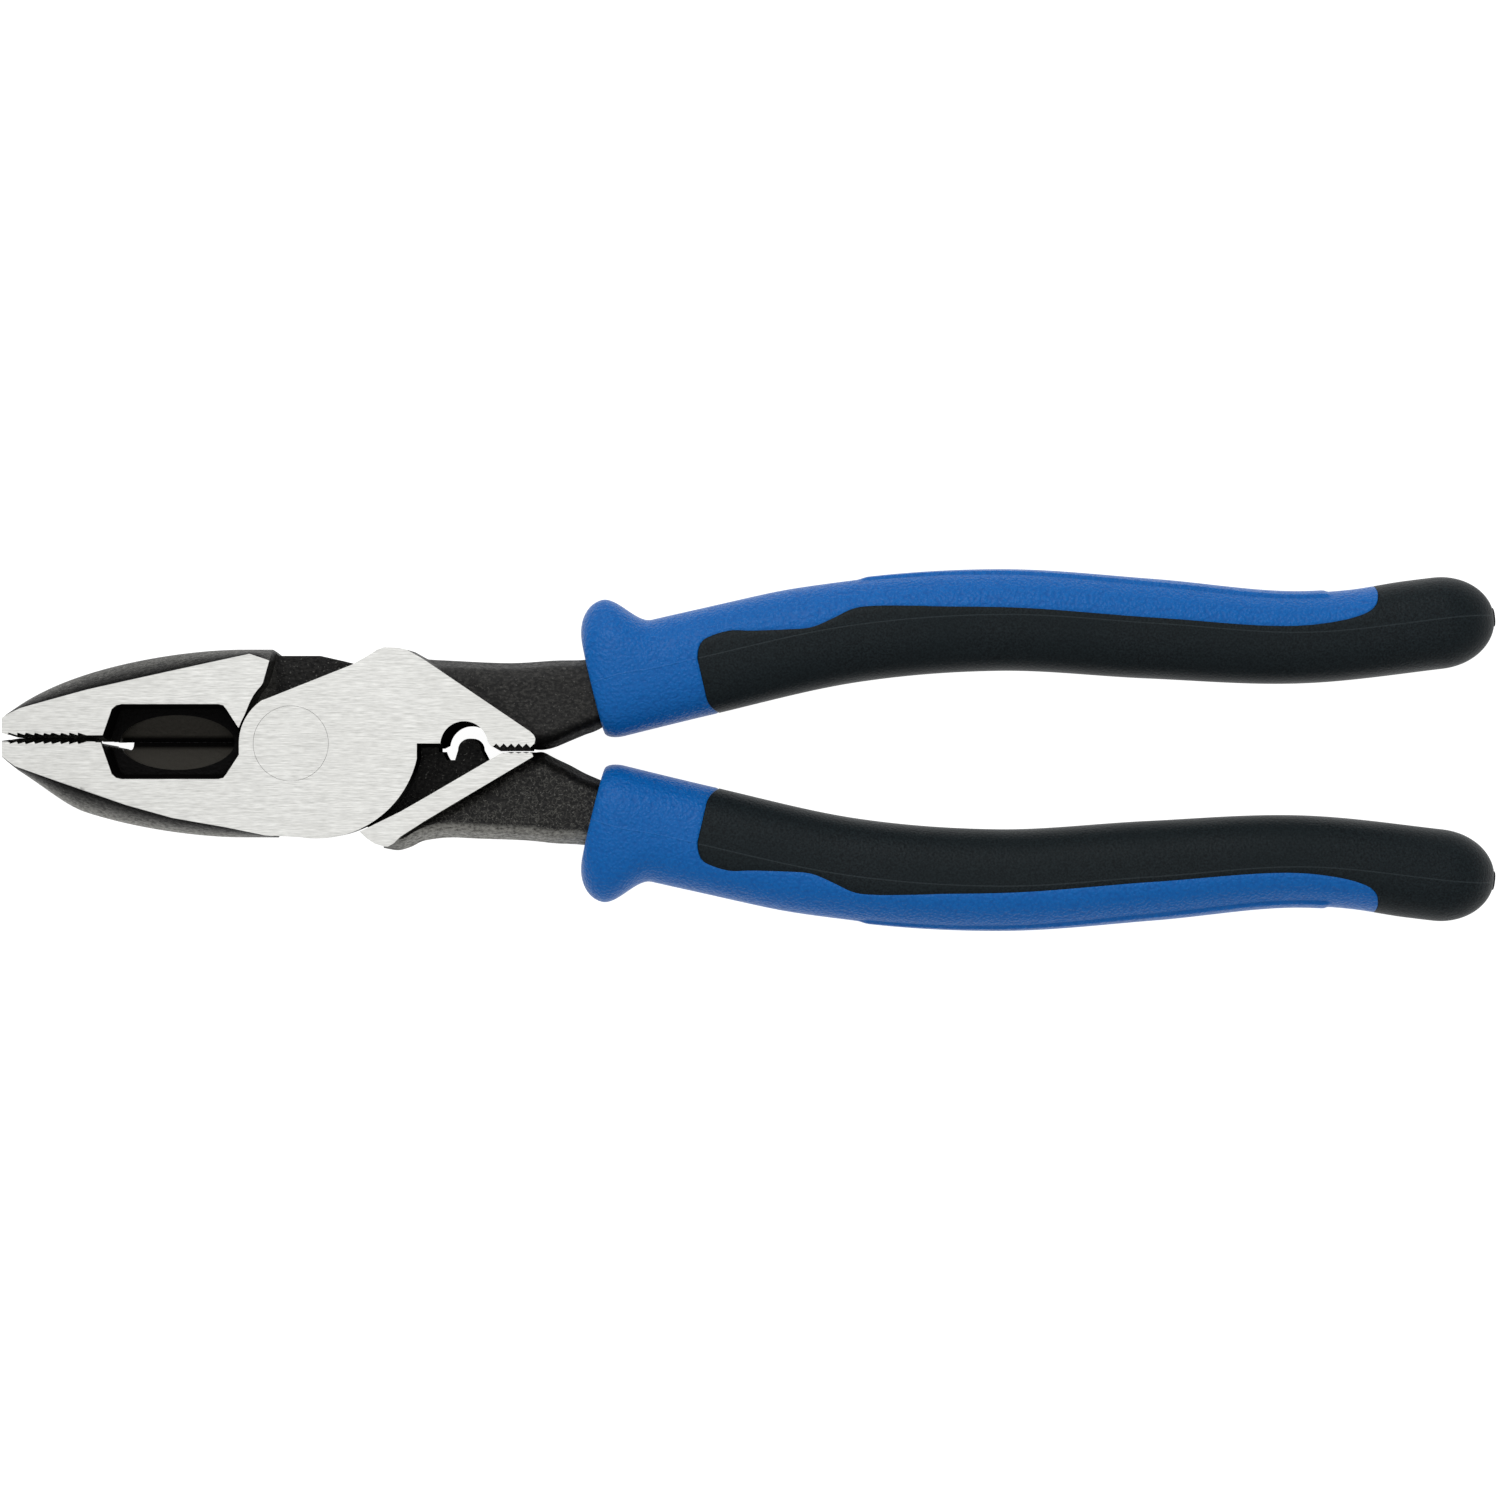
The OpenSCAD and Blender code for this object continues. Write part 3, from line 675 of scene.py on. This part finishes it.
def steel_piece(name, half, material):
    """Meshes a forging and turns it the way it lies."""
    low, high = (JAW_X - 1.4, -19.0, -0.55), (NECK_X[1] + 1, 19.0, HEAD_T + 0.55)
    points, quads = contour(lambda x, y, z: forging(x, y, z, half), low, high, MESH_STEP)
    if half.turned:
        points = points * [1, -1, -1] + [0, 0, HEAD_T]
    points[:, 2] = np.clip(points[:, 2], 0, HEAD_T)
    points[:, 0] = np.maximum(points[:, 0], JAW_X)
    piece = make_mesh(name, points, quads, material)
    tidy(piece, 32)
    return piece


def rivet_piece(material):
    """The rivet, ground flush, with a fine chamfer that leaves a faint ring."""
    n = 160
    wide, tall = 0.02, 0.015
    rings = [(RIVET_R - wide, 0), (RIVET_R, tall), (RIVET_R, HEAD_T - tall), (RIVET_R - wide, HEAD_T)]
    angles = np.linspace(0, 2 * np.pi, n, endpoint=False)
    points = [(r * math.cos(t), r * math.sin(t), z) for r, z in rings for t in angles]
    faces = [(k * n + i, k * n + (i + 1) % n, (k + 1) * n + (i + 1) % n, (k + 1) * n + i)
             for k in range(3) for i in range(n)]
    faces += [tuple(range(n))[::-1], tuple(range(3 * n, 4 * n))]
    piece = make_mesh("pivot_rivet", points, faces, material)
    tidy(piece, 25)
    return piece


# ---- Materials ----


def add_node(tree, kind, inputs=None, **settings):
    """Adds a node with its settings, and fills its inputs with values or links."""
    new = tree.nodes.new(kind)
    for key, value in settings.items():
        setattr(new, key, value)
    for key, value in (inputs or {}).items():
        if isinstance(value, bpy.types.NodeSocket):
            tree.links.new(value, new.inputs[key])
        else:
            new.inputs[key].default_value = value
    return new


class Shader:
    """A Principled material, with short calls for the nodes that feed it."""

    def __init__(self, name, **fixed):
        self.material = bpy.data.materials.new(name)
        self.material.use_nodes = True
        self.tree = self.material.node_tree
        self.bsdf = self.tree.nodes["Principled BSDF"]
        coordinates = add_node(self.tree, "ShaderNodeTexCoord")
        self.place, self.facing = coordinates.outputs["Object"], coordinates.outputs["Normal"]
        for key, value in fixed.items():
            self.bsdf.inputs[key.replace("_", " ")].default_value = value

    def noise(self, scale, detail=3.0, stretch=(1, 1, 1), roughness=0.5):
        """Noise with features 1/scale metres across."""
        mapped = add_node(self.tree, "ShaderNodeMapping", {"Vector": self.place, "Scale": stretch})
        made = add_node(self.tree, "ShaderNodeTexNoise", {"Vector": mapped.outputs[0], "Scale": scale,
                                                          "Detail": detail, "Roughness": roughness})
        return made.outputs["Fac"]

    def cells(self, scale, warp=0.0004):
        """Rounded cells, about 1/scale metres across."""
        bend = add_node(self.tree, "ShaderNodeTexNoise",
                        {"Vector": self.place, "Scale": scale * 0.8, "Detail": 2.0})
        centred = add_node(self.tree, "ShaderNodeVectorMath",
                           {0: bend.outputs["Color"], 1: (0.5, 0.5, 0.5)}, operation="SUBTRACT")
        scaled = add_node(self.tree, "ShaderNodeVectorMath", {0: centred.outputs[0], "Scale": warp},
                          operation="SCALE")
        moved = add_node(self.tree, "ShaderNodeVectorMath", {0: self.place, 1: scaled.outputs[0]},
                         operation="ADD")
        made = add_node(self.tree, "ShaderNodeTexVoronoi", {"Vector": moved.outputs[0], "Scale": scale},
                        feature="SMOOTH_F1")
        return made.outputs["Distance"]

    def remap(self, value, low, high, to_low=0.0, to_high=1.0):
        made = add_node(self.tree, "ShaderNodeMapRange", {"Value": value, "From Min": low, "From Max": high,
                                                          "To Min": to_low, "To Max": to_high})
        return made.outputs[0]

    def mix(self, factor, a, b):
        """Mixes two colours, or two numbers."""
        colours = isinstance(a, tuple) or getattr(a, "type", "") == "RGBA"
        made = add_node(self.tree, "ShaderNodeMix", data_type="RGBA" if colours else "FLOAT")
        at = (6, 7) if colours else (2, 3)
        for index, value in zip((0,) + at, (factor, a, b)):
            socket = made.inputs[index]
            if isinstance(value, bpy.types.NodeSocket):
                self.tree.links.new(value, socket)
            else:
                socket.default_value = value
        return made.outputs[2 if colours else 0]

    def math(self, operation, a, b=0.0):
        return add_node(self.tree, "ShaderNodeMath", {0: a, 1: b}, operation=operation).outputs[0]

    def bump(self, height, distance, strength=1.0, normal=None):
        inputs = {"Height": height, "Distance": distance, "Strength": strength}
        if normal:
            inputs["Normal"] = normal
        return add_node(self.tree, "ShaderNodeBump", inputs).outputs[0]

    def split(self, vector):
        return add_node(self.tree, "ShaderNodeSeparateXYZ", {0: vector}).outputs[:3]

    def link(self, **sockets):
        for key, value in sockets.items():
            self.tree.links.new(value, self.bsdf.inputs[key.replace("_", " ")])
        return self.material


def rgb(r, g, b):
    """A colour given as it looks on screen, from 0 to 255."""
    return tuple(((c / 255 + 0.055) / 1.055) ** 2.4 for c in (r, g, b)) + (1.0,)


def steel_material(name, all_ground=False, speckle_and_highlights=0.0):
    """Ground and brushed faces, with the black scale of the forging everywhere else.
    On the scale are painted highlights and glints, painted light on faces turned towards -Y,
    and painted shade on walls and in the recess.
    """
    shader = Shader(name, Specular_IOR_Level=0.28)
    fine = shader.noise(1.0, 3, (500, 7000, 7000), 0.6)
    broad = shader.noise(1.0, 2, (160, 3200, 3200))
    cloud = shader.noise(70, 2)
    brush = shader.math("ADD", shader.math("MULTIPLY", fine, 0.7), shader.math("MULTIPLY", broad, 0.3))
    bright = shader.mix(shader.remap(brush, 0.36, 0.62), rgb(178, 178, 175), rgb(210, 210, 207))
    bright = shader.mix(shader.remap(cloud, 0.35, 0.75, 0.0, 0.25), bright, rgb(186, 185, 181))
    bright_rough = shader.remap(brush, 0.3, 0.7, 0.42, 0.3)
    brushed = shader.bump(brush, 0.00002, 0.5)
    if all_ground:
        shader.bsdf.inputs["Metallic"].default_value = 1.0
        return shader.link(Base_Color=bright, Roughness=bright_rough, Normal=brushed)
    x, y, z = shader.split(shader.place)
    off_middle = shader.math("ABSOLUTE", shader.math("SUBTRACT", z, MID_Z * MM))
    ground = shader.remap(off_middle, (MID_Z - 0.2) * MM, (MID_Z - 0.12) * MM)
    scale = shader.noise(1500, 4, (1, 1.5, 1), 0.65)
    pits = shader.cells(1300)
    patches = shader.noise(220, 3)
    scaled = shader.remap(scale, 0.45, 0.72, 0.0, 1 - 0.35 * speckle_and_highlights)
    dark = shader.mix(scaled, rgb(4, 4, 4), rgb(56, 55, 52))
    dark = shader.mix(shader.remap(patches, 0.35, 0.7, 0.0, 0.5), dark, rgb(22, 21, 20))
    # The forged skin's crinkle, drawn as thin lines painted lighter: painted highlights, off the mid-plane,
    # on the back half's forging only.
    wrinkle_highlights = shader.math("ABSOLUTE", shader.math("SUBTRACT", shader.noise(1300, 3), 0.5))
    wrinkle_highlights = shader.math("MULTIPLY", shader.remap(wrinkle_highlights, 0.0, 0.03, speckle_and_highlights * 0.5, 0.0),
                          shader.remap(off_middle, 0.002, 0.004))
    dark = shader.mix(wrinkle_highlights, dark, rgb(105, 104, 98))
    glints = shader.remap(shader.noise(2600, 1), 0.66, 0.74, 0.0, 0.15 + 0.15 * speckle_and_highlights)
    dark = shader.mix(glints, dark, rgb(150, 149, 144))
    # Painted light: the scale is drawn lighter grey where the jaws' sides and the lower neck's edge face
    # -Y.
    dark = shader.mix(painted_light_flanks(shader, x, y, off_middle), dark,
                      shader.mix(shader.remap(scale, 0.3, 0.6), rgb(52, 51, 48), rgb(134, 133, 127)))
    shade = shaded_walls(shader, x, y, off_middle)
    dark = shader.mix(shade, dark, rgb(5, 5, 5))
    # The recess: dark oxide with painted shade on its walls and floor, and painted shade along the cutting
    # edges.
    recessed = recess_mask(shader, x, y, off_middle)
    dark = shader.mix(recessed, dark, recess_colour(shader, off_middle))
    dull = shader.math("MAXIMUM", shade, shader.math("MULTIPLY", recessed, 0.8))
    dark_rough = shader.remap(scale, 0.3, 0.7, 0.62, 0.42)
    relief = shader.math("ADD", scale, shader.math("MULTIPLY", pits, 0.5))
    rough_normal = shader.bump(relief, 0.0002 + speckle_and_highlights * 0.0002, 0.8)
    shader.link(Specular_IOR_Level=shader.mix(dull, 0.24, 0.0))
    blend_normal = add_node(shader.tree, "ShaderNodeMix", data_type="VECTOR")
    for index, socket in ((0, ground), (4, rough_normal), (5, brushed)):
        shader.tree.links.new(socket, blend_normal.inputs[index])
    return shader.link(Base_Color=shader.mix(ground, dark, bright), Metallic=ground,
                       Roughness=shader.mix(ground, dark_rough, bright_rough),
                       Normal=blend_normal.outputs[1])


def painted_light_flanks(shader, x, y, off_middle):
    """Painted light on the forged scale, strongest on faces turned towards -Y: along the middle of the
    jaws' sides, and on the lower neck's edge.
    """
    _, normal_y, normal_z = shader.split(shader.facing)
    upright = shader.math("ABSOLUTE", normal_z)
    facing = shader.remap(normal_y, 0.2, -0.5, 0.3, 1.0)
    jaw = shader.math("MULTIPLY", shader.remap(x, -0.003, -0.005),
                      shader.remap(off_middle, 0.0072, 0.0025))
    flank = shader.math("MULTIPLY", shader.remap(upright, 0.05, 0.25, 0.8, 1.0),
                        shader.remap(normal_y, -0.3, -0.6))
    lower_neck = shader.math("MULTIPLY", shader.remap(x, 0.014, 0.018), shader.remap(y, -0.005, -0.007))
    neck_edge = shader.math("MULTIPLY", lower_neck, flank)
    return shader.math("MULTIPLY", facing, shader.math("MAXIMUM", jaw, neck_edge))


def shaded_walls(shader, x, y, off_middle):
    """How shaded a wall is: most beside the crimper and next to the jaws' ground faces."""
    _, normal_y, normal_z = shader.split(shader.facing)
    upright = shader.math("ABSOLUTE", normal_z)
    wall = shader.math("MULTIPLY", shader.remap(upright, 0.16, 0.07), shader.remap(x, -0.0085, -0.008))
    outwards = shader.remap(shader.math("ABSOLUTE", y), 0.0085, 0.0095)
    crimper = shader.math("MULTIPLY", shader.remap(x, 0.018, 0.0195),
                          shader.math("SUBTRACT", 1.0, outwards))
    outside = shader.math("MULTIPLY", shader.remap(x, 0.011, 0.012), outwards)
    amount = shader.math("MULTIPLY", shader.math("MAXIMUM", crimper, 0.6),
                         shader.remap(outside, 0, 1, 1, 0.1))
    wall = shader.math("MULTIPLY", wall, amount)
    towards_gap = shader.math("MULTIPLY", normal_y, shader.remap(y, -0.0013, -0.0011, 1.0, -1.0))
    inner = shader.math("MULTIPLY", shader.remap(towards_gap, 0.3, 0.6, 0.0, 0.8),
                        shader.remap(x, 0.037, 0.039))
    wall = shader.math("MAXIMUM", wall, inner)
    beside_face = shader.math("MULTIPLY", shader.remap(x, -0.003, -0.005),
                              shader.remap(off_middle, 0.0045, 0.0075))
    return shader.math("MAXIMUM", wall, shader.math("MULTIPLY", beside_face, 0.9))


def recess_mask(shader, x, y, off_middle):
    """1 inside the cutters' recess."""
    along = shader.math("ABSOLUTE", shader.math("SUBTRACT", x, RECESS_C[0] * MM))
    across = shader.math("ABSOLUTE", shader.math("SUBTRACT", y, RECESS_C[1] * MM))
    inside = shader.math("MULTIPLY", shader.remap(along, 0.0113, 0.0111),
                         shader.remap(across, 0.0063, 0.0061))
    return shader.math("MULTIPLY", inside, shader.remap(off_middle, 0.0078, 0.0076))


def recess_colour(shader, off_middle):
    """Black walls and floor, dark oxide with painted shade over it, and a greyer hollow grind with painted
    shade in black along the cutting edges.
    """
    hollow = shader.remap(off_middle, (MID_Z - RECESS_FLOOR) * MM, (MID_Z - RECESS_FLOOR - 0.12) * MM)
    # Painted shade: black along the cutting edges, near the mid-plane.
    edges = shader.remap(off_middle, 0.0008, 0.0014)
    return shader.mix(shader.math("MULTIPLY", hollow, edges), rgb(6, 5, 5), rgb(52, 50, 46))


def parting_line(shader):
    """1 on the mould's fine parting line, 0 elsewhere."""
    distance = add_node(shader.tree, "ShaderNodeAttribute", attribute_name="seam").outputs["Fac"]
    return shader.remap(shader.math("ABSOLUTE", distance), 0.05, 0.16, 1.0, 0.0)


def blue_material():
    """Soft blue moulding with a fine pebbled skin."""
    shader = Shader("blue_rubber", Specular_IOR_Level=0.16)
    pebble = shader.cells(2200)
    grit = shader.noise(2600, 2)
    cloud = shader.noise(45, 2)
    line = parting_line(shader)
    colour = shader.mix(shader.remap(pebble, 0.25, 0.75), rgb(1, 92, 166), rgb(0, 80, 152))
    colour = shader.mix(shader.remap(cloud, 0.35, 0.7, 0.0, 0.25), colour, rgb(4, 86, 154))
    colour = shader.mix(shader.math("MULTIPLY", line, 0.2), colour, rgb(50, 110, 180))
    relief = shader.math("SUBTRACT", shader.math("MULTIPLY", grit, 0.35), pebble)
    normal = shader.bump(relief, 0.0002, 0.9)
    normal = shader.bump(line, 0.00005, 1.0, normal)
    rough = shader.remap(pebble, 0.1, 0.8, 0.3, 0.46)
    return shader.link(Base_Color=colour, Roughness=rough, Normal=normal)


def black_material():
    """Satin black moulding with a very fine grain."""
    shader = Shader("black_rubber", Specular_IOR_Level=0.09)
    grain = shader.cells(2400, 0.0002)
    grit = shader.noise(3500, 2)
    cloud = shader.noise(60, 3)
    line = parting_line(shader)
    colour = shader.mix(shader.remap(grit, 0.35, 0.65), rgb(9, 14, 17), rgb(26, 34, 37))
    colour = shader.mix(shader.remap(cloud, 0.35, 0.7, 0.0, 0.5), colour, rgb(17, 25, 28))
    colour = shader.mix(shader.math("MULTIPLY", line, 0.3), colour, rgb(60, 68, 72))
    relief = shader.math("SUBTRACT", shader.math("MULTIPLY", grit, 0.5), grain)
    normal = shader.bump(relief, 0.00009, 0.7)
    normal = shader.bump(line, 0.00005, 1.0, normal)
    rough = shader.remap(cloud, 0.3, 0.7, 0.42, 0.52)
    return shader.link(Base_Color=colour, Roughness=rough, Normal=normal)


def floor_material():
    """A white floor that glows a little, so that it stays plain white."""
    shader = Shader("pale_floor", Specular_IOR_Level=0.1, Emission_Color=(1, 1, 1, 1),
                    Emission_Strength=0.97)
    paper = shader.noise(30, 2)
    return shader.link(Base_Color=shader.mix(paper, rgb(138, 138, 138), rgb(142, 142, 142)),
                       Roughness=shader.remap(paper, 0, 1, 0.8, 0.9))


# ---- Making the pieces ----

# The third value sets how strong the speckle and the painted highlights are on each forging.
STEEL_PIECES = (("lower_jaw_half", "front_half", 0), ("upper_jaw_half", "back_half", 1))
GRIPS = (("upper_grip", 1, "front_half"), ("lower_grip", -1, "back_half"))

for node, body, speckle_and_highlights in STEEL_PIECES:
    steel = steel_material("forged_steel_" + body, speckle_and_highlights=speckle_and_highlights)
    piece = steel_piece(node + "_forging", HALVES[node], steel)
    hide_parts(node)
    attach(piece, body)

rivet = rivet_piece(steel_material("ground_rivet_steel", all_ground=True))
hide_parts("joint_rivet")
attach(rivet, "front_half")

blue, black = blue_material(), black_material()
for name, side, body in GRIPS:
    core, cover = grip_pieces(name, side, (blue, black))
    for piece, node, slot in ((core, "_core", "black_grip"), (cover, "_overmould", "blue_grip")):
        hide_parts(name + node)
        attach(piece, body)


# ---- Floor, light and camera ----


def stage_floor():
    reach = 3.0
    mesh = bpy.data.meshes.new("floor")
    corners = [(-reach, -reach), (reach, -reach), (reach, reach), (-reach, reach)]
    mesh.from_pydata([(x, y, -0.0001) for x, y in corners], [], [(0, 1, 2, 3)])
    mesh.materials.append(floor_material())
    floor = bpy.data.objects.new("floor", mesh)
    bpy.context.scene.collection.objects.link(floor)


def softbox(name, place, target, size, power):
    """A large square light that faces the target."""
    data = bpy.data.lights.new(name, "AREA")
    data.shape = "SQUARE"
    data.size = size
    data.energy = power
    light = bpy.data.objects.new(name, data)
    light.location = place
    aim = mathutils.Vector(target) - light.location
    light.rotation_euler = aim.to_track_quat("-Z", "Y").to_euler()
    bpy.context.scene.collection.objects.link(light)


def studio():
    world = bpy.data.worlds.new("studio")
    world.use_nodes = True
    sky = world.node_tree.nodes["Background"]
    sky.inputs["Color"].default_value = (1.0, 1.0, 1.0, 1.0)
    sky.inputs["Strength"].default_value = 0.6
    bpy.context.scene.world = world
    softbox("overhead", (0.07, 0.05, 1.3), (0.07, 0, 0), 1.1, 3.55)
    softbox("key", (-0.12, 0.68, 0.74), (0.07, 0, 0), 0.45, 4)
    bpy.context.scene.view_settings.view_transform = "Standard"


def camera():
    """Straight above, the head to the left and the ends of the grips at the right edge."""
    data = bpy.data.cameras.new("camera")
    data.sensor_width = 36
    data.lens = 89.8
    view = bpy.data.objects.new("camera", data)
    view.location = (0.0734, -0.00105, 0.614)
    bpy.context.scene.collection.objects.link(view)
    bpy.context.scene.camera = view


stage_floor()
studio()
camera()
